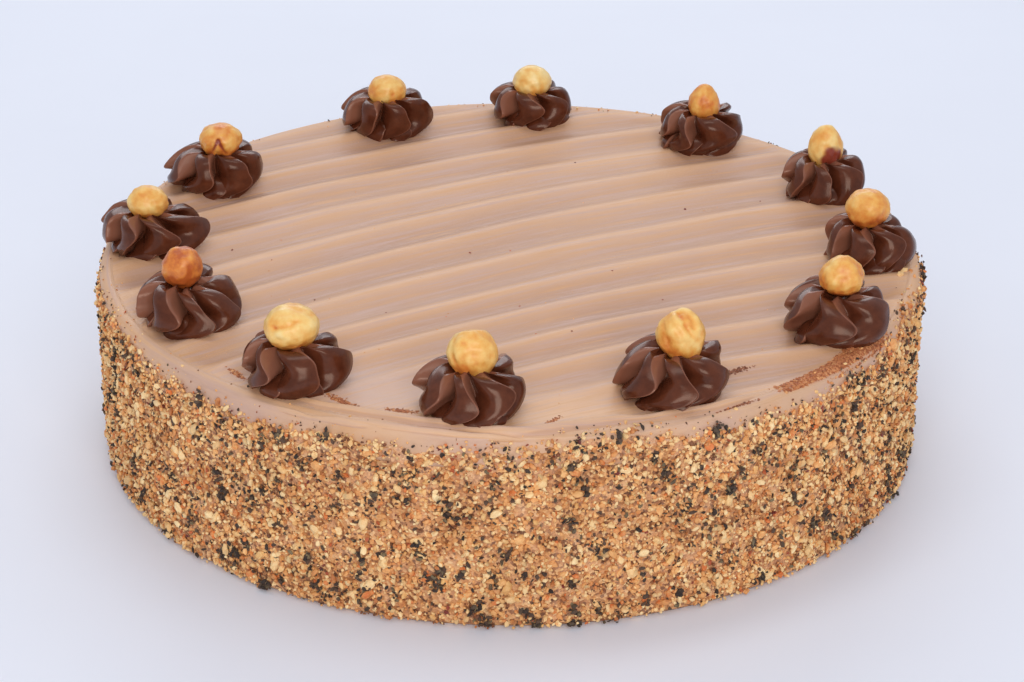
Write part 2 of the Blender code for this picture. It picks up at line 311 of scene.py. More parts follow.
coat_colour = blend(coat_finish, coat_cream, coat_colour, paint(232, 180, 142))
colour_by(coat_finish, in_patches(coat_finish, coat_place, coat_colour))
bump_by(coat_finish, coat_grit.outputs["Distance"], 0.8, 0.5 * MM)
wall = new_piece("nut_coat_ground", wall_shape, coat_finish)
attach(wall, "root")
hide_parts("cake")

# The chopped hazelnuts on the side: broken kernels from grit to pieces of 5 mm, pale where
# they are fresh, tan where they are roasted, with brown and nearly black skins among them.
CHIP_KINDS = 7
EDGE_SPREAD = 0.9 * MM
PROUDEST = 1.3 * MM
NUT_MOTTLE = 700.0
NUT_MOTTLE_SHARE = 0.7
# The sizes are drawn from a beta curve that leans to the small ones.
SIZE_CURVE = (1.2, 2.4)
# Shares of a piece's own size that it keeps clear of the coat's upper edge and of the foot.
EDGE_ROOM = 0.4
FOOT_ROOM = 0.6
# Strays lie past the coat's edge on the cream, and are smaller than their kind.
STRAY_SIZE = 0.62
STRAY_REACH = 2.0 * MM
# The share of a clumped kind that lies in clumps, and how tall and slanted a clump is for its width.
CLUMPED_SHARE = 0.62
CLUMP_HEIGHT = 0.9
CLUMP_SLANT = 0.7
# A slanted way that hardly any of the surface faces, from which each chip gets its own way along.
ODD_WAY = np.array([0.31, 0.17, 0.93])


def rough_chip(dice, subdivisions, wide, flat, jag):
    """One broken piece about a unit across: its points and its faces."""
    shape = bmesh.new()
    bmesh.ops.create_icosphere(shape, subdivisions=subdivisions, radius=0.5)
    for vertex in shape.verts:
        vertex.co *= dice.uniform(1.0 - jag, 1.0 + jag)
    squash = (1.0, dice.uniform(*wide), dice.uniform(*flat))
    bmesh.ops.scale(shape, vec=squash, verts=shape.verts)
    points = np.array([vertex.co for vertex in shape.verts])
    faces = np.array([[vertex.index for vertex in face.verts] for face in shape.faces])
    shape.free()
    return points, faces


def lay_chips(name, chips, places, outward, sizes, tip, draw, material):
    """Many chips in one mesh, each lying flat on the surface and turned and tipped at random."""
    count = len(places)
    points = np.stack([chip[0] for chip in chips])
    picked = points[draw.integers(0, len(chips), count)] * sizes[:, None, None]
    aside = np.cross(outward, ODD_WAY)
    aside /= np.linalg.norm(aside, axis=1)[:, None]
    beyond = np.cross(outward, aside)
    spin = draw.uniform(0, math.tau, count)[:, None]
    along = np.cos(spin) * aside + np.sin(spin) * beyond
    across = np.cross(outward, along)
    up = outward + draw.normal(0, tip, (count, 1)) * along + draw.normal(0, tip, (count, 1)) * across
    up /= np.linalg.norm(up, axis=1)[:, None]
    along -= (along * up).sum(1)[:, None] * up
    along /= np.linalg.norm(along, axis=1)[:, None]
    across = np.cross(up, along)
    placed = (places[:, None] + picked[..., 0:1] * along[:, None]
              + picked[..., 1:2] * across[:, None] + picked[..., 2:3] * up[:, None])
    first_corner = np.arange(count) * points.shape[1]
    faces = chips[0][1][None] + first_corner[:, None, None]
    mesh = bpy.data.meshes.new(name)
    mesh.from_pydata(placed.reshape(-1, 3).tolist(), [], faces.reshape(-1, 3).tolist())
    shade = mesh.attributes.new("shade", "FLOAT", "POINT")
    shades = np.repeat(draw.uniform(0, 1, count), points.shape[1])
    shade.data.foreach_set("value", shades.astype(np.float32))
    mesh.materials.append(material)
    return put_in_scene(name, mesh)


def own_value(material, name):
    """A value that each point of a piece carries."""
    return add_node(material, "ShaderNodeAttribute", attribute_name=name).outputs["Fac"]


def nut_finish(name, stops, roughness=0.6):
    """Chopped nut: each piece has its own shade, broken by a fine mottle."""
    finish = new_material(name, roughness)
    place = object_place(finish)
    grain = work_out(finish, "SUBTRACT", mottle(finish, place, NUT_MOTTLE), 0.5)
    mixed = work_out(finish, "MULTIPLY_ADD", grain, NUT_MOTTLE_SHARE, own_value(finish, "shade"))
    colour_by(finish, in_patches(finish, place, ramp(finish, mixed, stops)))
    bump_by(finish, mottle(finish, place, 1800.0), 0.5, 0.25 * MM)
    return finish


def coat_side(name, finish, seed, count, sizes, wide, flat, jag=0.3, sink=0.14, tip=0.7, stray=0.03,
              clumps=0, spread=(0.6, 2.2), proud=0.45, detail=1):
    """Presses one kind of chopped nut into the whole side of the cake, partly in clumps.

    The sizes, the clumps' spread and how proud a piece stands are in millimetres. The width, the
    thickness, the jags and the sinking are shares of a piece's own size.
    """
    dice = random.Random(seed)
    draw = np.random.default_rng(seed)
    chips = [rough_chip(dice, detail, wide, flat, jag) for _ in range(CHIP_KINDS)]
    turn = draw.uniform(-math.pi, math.pi, count)
    small, large = sizes
    across = (small + (large - small) * draw.beta(*SIZE_CURVE, count)) * MM
    strays = draw.uniform(0, 1, count) < stray
    across = np.where(strays, STRAY_SIZE * across, across)
    share = draw.uniform(0, 1, count)
    if clumps:
        clump = draw.integers(0, clumps, count)
        clumped = draw.uniform(0, 1, count) < CLUMPED_SHARE
        clump_turn = draw.uniform(-math.pi, math.pi, clumps)[clump]
        clump_share = draw.uniform(0, 1, clumps)[clump]
        clump_size = draw.uniform(*spread, clumps)[clump] * MM
        slant = draw.normal(0, 1, clumps)[clump]
        aside = draw.normal(0, 1, count) * clump_size
        upward = draw.normal(0, 1, count) * clump_size * CLUMP_HEIGHT + slant * aside * CLUMP_SLANT
        turn = np.where(clumped, clump_turn + aside / WALL_RADIUS, turn)
        share = np.where(clumped, np.clip(clump_share + upward / WALL_HEIGHT, 0.0, 1.0), share)
    reach = coat_top(turn) - EDGE_ROOM * across + draw.normal(0, EDGE_SPREAD, count)
    rise = share * (reach - FOOT_ROOM * across) + FOOT_ROOM * across
    rise = np.where(strays, reach + draw.exponential(STRAY_REACH, count), rise)
    places, outward = side_surface(turn, rise)
    lift = across * sink + np.minimum(draw.exponential(proud * MM, count), PROUDEST) * ~strays
    places = places + outward * lift[:, None]
    piece = lay_chips(name, chips, places, outward, across, tip, draw, finish)
    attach(piece, "root")
    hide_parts("cake")


pale_nut = nut_finish("pale_kernel", [
    (0.0, paint(236, 182, 112)), (0.25, paint(249, 208, 146)), (0.55, paint(254, 226, 172)),
    (0.8, paint(246, 199, 136)), (1.0, paint(220, 188, 136))])
tan_nut = nut_finish("roasted_kernel", [
    (0.0, paint(192, 120, 68)), (0.3, paint(236, 170, 104)), (0.6, paint(247, 192, 126)),
    (0.85, paint(229, 160, 96)), (1.0, paint(224, 124, 62))])
brown_nut = nut_finish("brown_nut_skin", [
    (0.0, paint(90, 54, 38)), (0.35, paint(144, 92, 56)), (0.7, paint(112, 70, 46)),
    (1.0, paint(168, 96, 54))])
dark_nut = nut_finish("dark_nut_skin", [
    (0.0, paint(50, 40, 35)), (0.35, paint(70, 56, 47)), (0.6, paint(96, 72, 57)),
    (0.8, paint(86, 72, 58)), (1.0, paint(130, 114, 84))], 0.85)
red_nut = nut_finish("red_nut_skin", [
    (0.0, paint(96, 34, 36)), (0.5, paint(140, 56, 40)), (1.0, paint(206, 106, 54))], 0.5)

coat_side("nut_grit_pale", pale_nut, seed=21, count=7600, sizes=(0.7, 1.6),
          wide=(0.7, 1.0), flat=(0.6, 0.9), jag=0.25, stray=0.02)
coat_side("nut_grit_tan", tan_nut, seed=22, count=7200, sizes=(0.7, 1.6),
          wide=(0.7, 1.0), flat=(0.6, 0.9), jag=0.25)
coat_side("nut_chips_pale", pale_nut, seed=23, count=7800, sizes=(1.2, 2.9),
          wide=(0.55, 0.9), flat=(0.45, 0.75), stray=0.01)
coat_side("nut_chips_tan", tan_nut, seed=24, count=5400, sizes=(1.2, 2.9),
          wide=(0.55, 0.9), flat=(0.45, 0.75), stray=0.01)
coat_side("nut_chips_brown", brown_nut, seed=25, count=3600, sizes=(0.6, 2.1),
          wide=(0.5, 0.9), flat=(0.35, 0.6), sink=0.22, tip=0.6, stray=0.05, clumps=260)
coat_side("nut_skins_dark", dark_nut, seed=26, count=6200, sizes=(0.7, 2.3),
          wide=(0.4, 0.85), flat=(0.25, 0.5), sink=0.32, clumps=230)
coat_side("nut_skins_red", red_nut, seed=27, count=700, sizes=(0.8, 2.2),
          wide=(0.5, 0.9), flat=(0.3, 0.5), jag=0.28, sink=0.24, tip=0.5, stray=0.06, clumps=120)
coat_side("nut_pieces_pale", pale_nut, seed=28, count=420, sizes=(2.6, 5.2),
          wide=(0.5, 0.8), flat=(0.4, 0.6), jag=0.2, sink=0.07, tip=0.5, stray=0.0, proud=0.6, detail=2)
coat_side("nut_pieces_tan", tan_nut, seed=29, count=280, sizes=(2.4, 4.4),
          wide=(0.55, 0.85), flat=(0.4, 0.6), jag=0.2, sink=0.07, tip=0.5, stray=0.0, proud=0.6, detail=2)
coat_side("nut_flakes_dark", dark_nut, seed=30, count=3000, sizes=(1.1, 2.7), wide=(0.4, 0.8),
          flat=(0.3, 0.5), jag=0.32, sink=0.42, tip=0.6, stray=0.0, clumps=150, spread=(0.5, 1.3), proud=0.5)

# The hazelnut cream over the top and round the rim: whipped soft, spread with a palette knife
# and drawn with a comb in one sweep, so that low ridges cross the top in shallow curves.
CREAM_LEVEL = 62.2 * MM
CREAM_FOOT = 52.0 * MM
COMB_CRESTS = [place * MM for place in (
    -158, -136, -114, -92, -73, -52, -33, -9, 16, 39, 60, 81, 102, 124, 146, 168)]
COMB_SLOPE = 0.56
COMB_SLOPE_AT_BACK = 0.45
COMB_BEND = 1.1
COMB_RELIEF = 2.7 * MM
COMB_TROUGH = 0.60
COMB_OVERLAP = 0.04
COMB_SOFTNESS = 1.0 * MM
COMB_WAVER = 0.5 * MM
COMB_PHASES = (0.0, 0.03, 0.06, 0.10, 0.15, 0.21, 0.28, 0.36, 0.44, 0.52, 0.58, 0.64,
               0.69, 0.74, 0.79, 0.84, 0.88, 0.92, 0.96)
COMB_COLUMNS = 290
# The crests' place on the tone ramp: the cream is painted lighter on the comb crests and darker in the
# troughs, as painted light and shade.
CREST_PAINTED_LIGHT = 0.85
CREAM_TOP_RADIUS = 126.0 * MM
SHORTEST_ROW = 22 * MM
ROW_SAMPLES = 510
ROW_SAMPLE = 0.25 * MM
RIM_STEPS = 9
RIM_FOLD = 0.55 * MM
RIM_RIPPLE = 0.35 * MM
BAND_STEPS = 5
CREAM_SWELL = 0.5 * MM
KNIFE_LINES = 420.0
KNIFE_LINE = 0.10 * MM
FINE_KNIFE_LINE = 0.05 * MM
KNIFE_STRETCH = 0.07
# The knife wiped the comb lines out between two rosettes at the front, and smeared the rim there.
FLAT_PATCH_PLACE = (-39 * MM, -101 * MM)
FLAT_PATCH_SIZE = (20 * MM, 14 * MM)
SMEAR_FRONT = (-108 * MM, -92 * MM)
SMEAR_REACH = (96 * MM, 108 * MM)
SMEAR_FOLD = 0.55 * MM
# Where the ridges fade out: towards the rim, towards the front, and along one line at the right.
RIM_FADE = (119 * MM, 128 * MM)
FRONT_FADE = (-116 * MM, -92 * MM)
FAINT_LINE = 62 * MM
FAINT_WIDTH = 10 * MM
FAINT_SHARE = 0.45
# The smear of nut dust: the degrees where it starts, is thick, thins and ends, and in millimetres
# how far out its middle lies, and its half width and how that grows with each degree.
DUST_STRETCH = (-54, -47, -34, -27)
DUST_REACH = 127.2
DUST_WIDTH = 1.5
DUST_WIDENING = 0.11


def smooth_step(low, high, value):
    amount = min(max((value - low) / (high - low), 0.0), 1.0)
    return amount * amount * (3.0 - 2.0 * amount)


def comb_slope(place):
    fan = smooth_step(20 * MM, 80 * MM, place)
    return COMB_SLOPE + (COMB_SLOPE_AT_BACK - COMB_SLOPE) * fan


def comb_line(place, x):
    """The y of the comb line that crosses x = 0 at place."""
    return place + comb_slope(place) * x - COMB_BEND * x * x


def ridge_depth(place):
    """How deep the comb cuts at a place: 0 on a crest and 1 in a trough, before softening."""
    behind = min(max(bisect.bisect_right(COMB_CRESTS, place), 1), len(COMB_CRESTS) - 1)
    back = COMB_CRESTS[behind]
    front = COMB_CRESTS[behind - 1]
    phase = (back - place) / (back - front)
    if phase < COMB_TROUGH:
        return 1.0 - (1.0 - max(phase, 0.0) / COMB_TROUGH) ** 1.4
    return 1.0 - smooth_step(COMB_TROUGH - COMB_OVERLAP, 1.0 + COMB_OVERLAP, phase)


def comb_depth(place):
    offsets = (-2, -1, 0, 1, 2)
    return sum(ridge_depth(place + step * COMB_SOFTNESS) for step in offsets) / len(offsets)


def flat_patch(x, y):
    """How flat the knife wiped the cream at a point: 1 in the middle of the patch."""
    right = (x - FLAT_PATCH_PLACE[0]) / FLAT_PATCH_SIZE[0]
    back = (y - FLAT_PATCH_PLACE[1]) / FLAT_PATCH_SIZE[1]
    return math.exp(-right ** 2 - back ** 2)


def comb_strength(x, y, place):
    """How plainly the ridges show: they fade at the rim and are smeared away at the front."""
    reach = math.hypot(x, y)
    rim = 1.0 - smooth_step(*RIM_FADE, reach)
    front = smooth_step(*FRONT_FADE, y)
    near = math.exp(-((place - FAINT_LINE) / FAINT_WIDTH) ** 2)
    faint = 1.0 - FAINT_SHARE * near * smooth_step(0.0, 30 * MM, x)
    uneven = 0.95 + 0.30 * noise.noise(Vector((x * 12, place * 30, 7.0)))
    return rim * front * (1.0 - 0.8 * flat_patch(x, y)) * faint * uneven


def cream_height(x, y, place, depth):
    """The level of the cream at a point, with its ridges, slow swell and fine knife lines."""
    swell = CREAM_SWELL * noise.noise(Vector((x * 22, y * 22, 3.0)))
    strength = comb_strength(x, y, place)
    streak = KNIFE_LINE * noise.noise(Vector((x * 9, place * KNIFE_LINES, 1.0)))
    streak += FINE_KNIFE_LINE * noise.noise(Vector((x * 25, place * 1300, 2.0)))
    reach = math.hypot(x, y)
    smear = (1.0 - smooth_step(*SMEAR_FRONT, y)) * smooth_step(*SMEAR_REACH, reach)
    turn = math.atan2(y, x)
    folds = SMEAR_FOLD * noise.noise(Vector((turn * 3.0, reach * 190, 5.0))) * smear
    return CREAM_LEVEL + strength * COMB_RELIEF * (0.5 - depth) + swell + streak + folds


def dust_on(x, y):
    """How thickly nut dust is smeared into the cream at a point, along the rim at the front right."""
    start, thick, thinning, end = DUST_STRETCH
    degrees = math.degrees(math.atan2(y, x))
    reach = math.hypot(x, y) / MM
    cloud = 0.5 + 0.9 * noise.noise(Vector((x * 160, y * 160, 11.0)))
    along = smooth_step(start, thick, degrees) * (1.0 - smooth_step(thinning, end, degrees))
    middle = DUST_REACH - 0.05 * abs(degrees + 45)
    wide = DUST_WIDTH + DUST_WIDENING * (degrees - start)
    across = smooth_step(1.15, 0.75, abs(reach - middle) / max(wide, 0.5))
    return along * across * min(max(cloud, 0.65), 1.0)


def row_ends(place):
    """Where a comb line enters and leaves the round of the top."""
    samples = [step * ROW_SAMPLE for step in range(-ROW_SAMPLES, ROW_SAMPLES + 1)]
    inside = [x for x in samples if math.hypot(x, comb_line(place, x)) < CREAM_TOP_RADIUS]
    return (inside[0], inside[-1]) if inside else (0.0, 0.0)


comb_rows = []
for front, back in zip(COMB_CRESTS, COMB_CRESTS[1:]):
    for phase in COMB_PHASES:
        place = back + (front - back) * phase
        left, right = row_ends(place)
        if right - left > SHORTEST_ROW:
            comb_rows.append((place, left, right, comb_depth(place)))
comb_rows.sort()

cream_shape = bmesh.new()
bmesh.ops.create_grid(cream_shape, x_segments=COMB_COLUMNS, y_segments=len(comb_rows) - 1, size=1.0)
comb_light_shade_layer = cream_shape.verts.layers.float.new("painted_light_shade")
comb_streak = cream_shape.verts.layers.float.new("streak")
dust_tone = cream_shape.verts.layers.float.new("dust")
flat_patch_sheen_layer = cream_shape.verts.layers.float.new("painted_cool_sheen")
for vertex in cream_shape.verts:
    row = round((vertex.co.y + 1.0) / 2.0 * (len(comb_rows) - 1))
    place, left, right, depth = comb_rows[row]
    x = left + (right - left) * (vertex.co.x + 1.0) / 2.0
    waver = COMB_WAVER * noise.noise(Vector((x * 16, place * 40, 4.0)))
    y = comb_line(place, x) + waver
    if vertex.is_boundary and 0 < row < len(comb_rows) - 1:
        stretch = CREAM_TOP_RADIUS / math.hypot(x, y)
        x *= stretch
        y *= stretch
    vertex.co = Vector((x, y, cream_height(x, y, place, depth)))
    # Painted light and shade of the ridges: the crest value on a crest, down to 0 in a deep trough.
    vertex[comb_light_shade_layer] = CREST_PAINTED_LIGHT * (1.0 - depth * comb_strength(x, y, place))
    vertex[comb_streak] = place
    vertex[dust_tone] = dust_on(x, y)
    # Painted cool sheen on the flat patch that the knife wiped.
    vertex[flat_patch_sheen_layer] = smooth_step(0.1, 0.8, flat_patch(x, y))
rim_edges = [edge for edge in cream_shape.edges if edge.is_boundary]
for step in range(RIM_STEPS + BAND_STEPS + 1):
    extruded = bmesh.ops.extrude_edge_only(cream_shape, edges=rim_edges)["geom"]
    rim_edges = [part for part in extruded if isinstance(part, bmesh.types.BMEdge) and part.is_boundary]
    for vertex in extruded:
        if not isinstance(vertex, bmesh.types.BMVert):
            continue
        turn = math.atan2(vertex.co.y, vertex.co.x)
        edge_of_top = CREAM_RADIUS - SHOULDER
        edge_x = edge_of_top * math.cos(turn)
        edge_y = edge_of_top * math.sin(turn)
        level = cream_height(edge_x, edge_y, 0.0, 0.5)
        bend = min(step / RIM_STEPS, 1.0) * math.pi / 2
        band = max(step - RIM_STEPS, 0) / BAND_STEPS
        front = smooth_step(-60 * MM, -90 * MM, vertex.co.y)
        fold_bend = 0.85 + 0.35 * noise.noise(Vector((turn * 5.0, 0.0, 9.0)))
        fold = RIM_FOLD * front * math.exp(-((bend - fold_bend) / 0.16) ** 2)
        ripple = RIM_RIPPLE * noise.noise(Vector((turn * 9.0, bend * 3.0 + band * 4.0, 6.0)))
        reach = edge_of_top + (SHOULDER + fold + ripple) * math.sin(bend)
        foot = level - SHOULDER
        rise = foot + (SHOULDER + fold) * math.cos(bend) + (CREAM_FOOT - foot) * band
        vertex.co = Vector((reach * math.cos(turn), reach * math.sin(turn), rise))
        # The rim takes the crests' painted light, rising to the ramp's last stop at the front.
        vertex[comb_light_shade_layer] = CREST_PAINTED_LIGHT + (1.0 - CREST_PAINTED_LIGHT) * front
        vertex[comb_streak] = reach
        vertex[dust_tone] = dust_on(vertex.co.x, vertex.co.y) * math.cos(bend)
bmesh.ops.contextual_create(cream_shape, geom=rim_edges)
bmesh.ops.recalc_face_normals(cream_shape, faces=cream_shape.faces)

cream_finish = new_material("combed_hazelnut_cream", 0.5)
cream_place = object_place(cream_finish)
streak_x = add_node(cream_finish, "ShaderNodeSeparateXYZ", {"Vector": cream_place}).outputs["X"]
streak_x = work_out(cream_finish, "MULTIPLY", streak_x, KNIFE_STRETCH)
streak_place = add_node(cream_finish, "ShaderNodeCombineXYZ",
                        {"X": streak_x, "Y": own_value(cream_finish, "streak")}).outputs["Vector"]
knife_lines = mottle(cream_finish, streak_place, KNIFE_LINES, 5.0)
# Painted shade in the comb troughs, painted light on the crests.
cream_tone = ramp(cream_finish, own_value(cream_finish, "painted_light_shade"), [
    (0.0, paint(186, 143, 116)), (0.22, paint(198, 153, 122)), (0.5, paint(210, 163, 127)),
    (CREST_PAINTED_LIGHT, paint(226, 179, 138)), (1.0, paint(219, 176, 140))])
cream_cloud = ramp(cream_finish, mottle(cream_finish, cream_place, 28.0, 5.0),
                   [(0.3, (0.93, 0.93, 0.95, 1)), (0.7, grey(1.0))])
cream_tone = blend(cream_finish, 1.0, cream_tone, cream_cloud, "MULTIPLY")
# Lilac along the knife lines: partly the cream's own streaky tone, partly a painted cool sheen.
lilac_tone_and_sheen_share = ramp(cream_finish, knife_lines, [(0.48, grey(0.0)), (0.68, grey(0.8))])
cream_tone = blend(cream_finish, lilac_tone_and_sheen_share, cream_tone, paint(199, 163, 148))
# Painted reflection: the knife-wiped flat patch is painted a cool lilac, as if it mirrored the pale room.
painted_sheen_share = ramp(cream_finish, own_value(cream_finish, "painted_cool_sheen"), [(0.0, grey(0.0)), (1.0, grey(0.6))])
cream_tone = blend(cream_finish, painted_sheen_share, cream_tone, paint(205, 170, 154))
warm_share = ramp(cream_finish, knife_lines, [(0.30, grey(0.8)), (0.47, grey(0.0))])
cream_tone = blend(cream_finish, warm_share, cream_tone, paint(212, 160, 112))
dust_colour = ramp(cream_finish, mottle(cream_finish, cream_place, 900.0),
                   [(0.35, paint(166, 92, 54)), (0.65, paint(206, 134, 88))])
cream_tone = blend(cream_finish, own_value(cream_finish, "dust"), cream_tone, dust_colour)
colour_by(cream_finish, cream_tone)
cream_grain = mottle(cream_finish, cream_place, 900.0, 3.0)
cream_relief = work_out(cream_finish, "MULTIPLY_ADD", knife_lines, 1.6, cream_grain)
bump_by(cream_finish, cream_relief, 0.5, 0.16 * MM)
cream = new_piece("cream_top_combed", cream_shape, cream_finish)
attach(cream, "root")
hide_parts("cream_top")

# The folds along the front rim: the last strokes of the knife pushed the cream outwards, and it
# stands there in thin laps, one on the edge of the top and one below it on the side.
LAP_STEPS = 260
# A lap's section: the share of its width from the inner edge, and the share of its height.
LAP_SECTION = (
    (0.00, -0.9), (0.06, -0.2), (0.08, 0.45), (0.12, 0.85), (0.18, 1.0), (0.28, 0.92), (0.42, 0.66),
    (0.58, 0.36), (0.78, 0.08), (1.00, -0.5))
LAP_BURIED = 1.6 * MM
LAP_WAVER = 0.8 * MM
LAP_END_SUNK = 0.5 * MM


def comb_place(x, y):
    """The place of the comb line through a point, the other way round."""
    place = y - COMB_SLOPE * x + COMB_BEND * x * x
    for _ in range(3):
        place = y - comb_slope(place) * x + COMB_BEND * x * x
    return place


def on_cream(x, y):
    """The point on the cream over a place, and the outward direction there."""
    reach = math.hypot(x, y)
    beyond = min(max(reach - CREAM_RADIUS + SHOULDER, 0.0), 0.98 * SHOULDER)
    rest = math.sqrt(SHOULDER ** 2 - beyond ** 2)
    place = comb_place(x, y)
    level = cream_height(x, y, place, comb_depth(place)) - (SHOULDER - rest)
    outward = Vector((x / reach * beyond, y / reach * beyond, rest)) / SHOULDER
    return Vector((x, y, level)), outward


def add_lap(name, seed, first, last, wide, high, path):
    """One lap of cream along the rim, from its sharp inner edge to where it runs out outside."""
    shape = bmesh.new()
    bmesh.ops.create_grid(shape, x_segments=LAP_STEPS, y_segments=len(LAP_SECTION) - 1, size=1.0)
    painted_light_shade = shape.verts.layers.float.new("painted_light_shade")
    streak = shape.verts.layers.float.new("streak")
    shape.verts.layers.float.new("dust")
    shape.verts.layers.float.new("painted_cool_sheen")
    for vertex in shape.verts:
        along = (vertex.co.x + 1.0) / 2.0
        row = round((vertex.co.y + 1.0) / 2.0 * (len(LAP_SECTION) - 1))
        share, rise = LAP_SECTION[row]
        degrees = first + (last - first) * along
        ends = smooth_step(0.0, 0.22, along) * (1.0 - smooth_step(0.8, 1.0, along))
        uneven = 0.75 + 0.6 * noise.noise(Vector((degrees * 0.16, seed, 0.0)))
        waver = LAP_WAVER * noise.noise(Vector((degrees * 0.22, seed, 3.0)))
        reach = path(degrees) * MM + waver + (share - 0.15) * wide * (0.6 + 0.4 * ends)
        beyond = max(reach - CREAM_RADIUS + 0.2 * SHOULDER, 0.0)
        reach -= beyond
        turn = math.radians(degrees)
        point, outward = on_cream(reach * math.cos(turn), reach * math.sin(turn))
        height = high * uneven * rise * (0.15 + 0.85 * ends) - LAP_END_SUNK * (1.0 - ends)
        vertex.co = point + outward * height - Vector((0, 0, beyond))
        # Painted light on the lap's raised edge, painted shade on its low parts.
        vertex[painted_light_shade] = 1.0 if rise > 0.5 else 0.35
        vertex[streak] = reach * 2.0
    skirt = bmesh.ops.extrude_face_region(shape, geom=shape.faces[:])
    inner = [part for part in skirt["geom"] if isinstance(part, bmesh.types.BMVert)]
    for vertex in inner:
        vertex.co.z -= LAP_BURIED
    bmesh.ops.recalc_face_normals(shape, faces=shape.faces)
    fold = new_piece(name, shape, cream_finish)
    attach(fold, "root")
    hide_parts("cream_top")


def upper_lap(degrees):
    """How far out the upper lap lies at an angle, in millimetres: it swings out twice."""
    return 122.4 + 4.2 * math.exp(-((degrees + 91) / 9) ** 2) + 2.6 * smooth_step(-80, -58, degrees)


def lower_lap(degrees):
    """How far out the lower lap lies at an angle, in millimetres."""
    return 128.4 + 0.5 * math.sin(degrees * 0.2)


add_lap("cream_fold_upper", seed=3, first=-126.0, last=-50.0, wide=5.0 * MM, high=2.1 * MM, path=upper_lap)
add_lap("cream_fold_lower", seed=8, first=-126.0, last=-84.0, wide=3.2 * MM, high=1.5 * MM, path=lower_lap)

# The rosettes: whipped chocolate ganache piped through a closed star nozzle with a turn of
# the wrist, so that seven folds wind up round the middle and end in thin lapping edges.
ROSETTE_FOLDS = 7
ROSETTE_FOOT = 60.6 * MM
ROSETTE_RISE = 14.8 * MM
ROSETTE_LEVELS = 56
FOOT_LEVELS = 20
ROSETTE_SEED = 40
LIP_DROP = 0.7 * MM
# How the folds of one rosette differ: in reach, in lift in millimetres and in turn in degrees, and
# how far the low turn of the rope is turned from them.
FOLD_REACH = (0.89, 1.08)
FOLD_LIFT = (-1.4, 1.0)
FOLD_TURN = (-9, 9)
FOOT_TURN = (14, 30)
# The ripple that runs down each fold: its speed, its sway in degrees, and its share of the reach.
FOLD_RIPPLES = 8.0
RIPPLE_SWAY = 6.5
RIPPLE_SWELL = 0.024
FOLD_RAGGED = 0.025
# Each: the angle round the cake, the reach from the middle, the width, how far the crown
# leans to the right and to the back, and the angles of the folds' edges that face the front.
ROSETTES = (
    (113, 114.0, 31, 0.6, -2.5, (-150, -98, -50)),
    (86, 114.0, 29, -0.6, -1.5, (-140, -80, -28)),
    (54.5, 112.3, 30, 1.3, -1.0, (-155, -108, -40)),
    (24, 114.0, 29, 0.3, 2.0, (-128, -82, -35)),
    (-4, 114.0, 30, -0.8, 2.0, (-146, -92, -48)),
    (-32, 115.0, 31, 1.3, 3.6, (-150, -82, -12)),
    (-65.9, 110.8, 33, 3.2, 4.4, (-165, -120, -71, -15)),
    (-95.6, 114.0, 31, 0.6, 3.6, (-131, -86, -44, -1)),
    (-123.2, 113.8, 32, -0.5, 1.0, (-165, -120, -52, 5)),
    (-149.8, 110.8, 32, -2.2, 2.6, (-160, -100, -60, -15)),
    (179, 113.5, 33, -1.8, -2.0, (-150, -105, -58, -5)),
    (152.2, 112.4, 31, 2.0, 0.0, (-140, -88, -36)))
# One fold's section: place along the fold and reach, climbing to a thin edge that laps over.
FOLD_SECTION = (
    (0.00, 0.42), (0.05, 0.45), (0.12, 0.54), (0.20, 0.67), (0.30, 0.80), (0.40, 0.89),
    (0.52, 0.945), (0.64, 0.975), (0.75, 0.99), (0.84, 1.0), (0.90, 1.01), (0.935, 1.02),
    (0.95, 1.0), (0.955, 0.90), (0.95, 0.74), (0.965, 0.55))
# The form from the bowl at the crown down to the foot: height, reach, depth of the folds, and
# how many degrees the folds have turned, measured from their widest level.
ROSETTE_FORM = (
    (0.76, 0.00, 0.0, -46), (0.84, 0.26, 0.5, -37), (0.92, 0.45, 0.9, -26), (0.96, 0.62, 0.96, -15),
    (0.91, 0.80, 0.96, -6), (0.80, 0.93, 0.98, 2), (0.65, 1.00, 1.0, 6), (0.49, 1.03, 1.0, 3),
    (0.31, 0.99, 1.0, -10), (0.14, 0.86, 0.9, -27), (0.00, 0.70, 0.6, -40), (0.00, 0.00, 0.0, -40))
# The first low turn of the rope, which shows under the folds.
FOOT_FORM = (
    (0.50, 0.00, 0.0, 0), (0.46, 0.58, 0.6, 0), (0.36, 0.78, 1.0, -4), (0.22, 0.87, 1.0, -10),
    (0.08, 0.84, 0.9, -20), (0.00, 0.76, 0.7, -26), (0.00, 0.00, 0.0, -26))


def between(rows, place):
    """A smooth curve through rows of values, at a place from 0 to 1."""
    spot = min(max(place, 0.0), 1.0) * (len(rows) - 1)
    index = min(int(spot), len(rows) - 2)
    share = spot - index
    before = rows[max(index - 1, 0)]
    start = rows[index]
    end = rows[index + 1]
    after = rows[min(index + 2, len(rows) - 1)]
    return [0.5 * (2 * b + (c - a) * share + (2 * a - 5 * b + 4 * c - d) * share ** 2
                   + (3 * b - a - 3 * c + d) * share ** 3)
            for a, b, c, d in zip(before, start, end, after)]


def fold_edges(front):
    """The angles of all seven edges: those that face the front, and the rest spread behind."""
    behind = ROSETTE_FOLDS - len(front)
    gap = (360.0 + front[0] - front[-1]) / (behind + 1)
    return list(front) + [front[-1] + gap * (number + 1) for number in range(behind)]


def across_fold(values, fold, part):
    """A value that goes over from one edge of a fold to the next."""
    return values[fold - 1] * (1.0 - part) + values[fold] * part


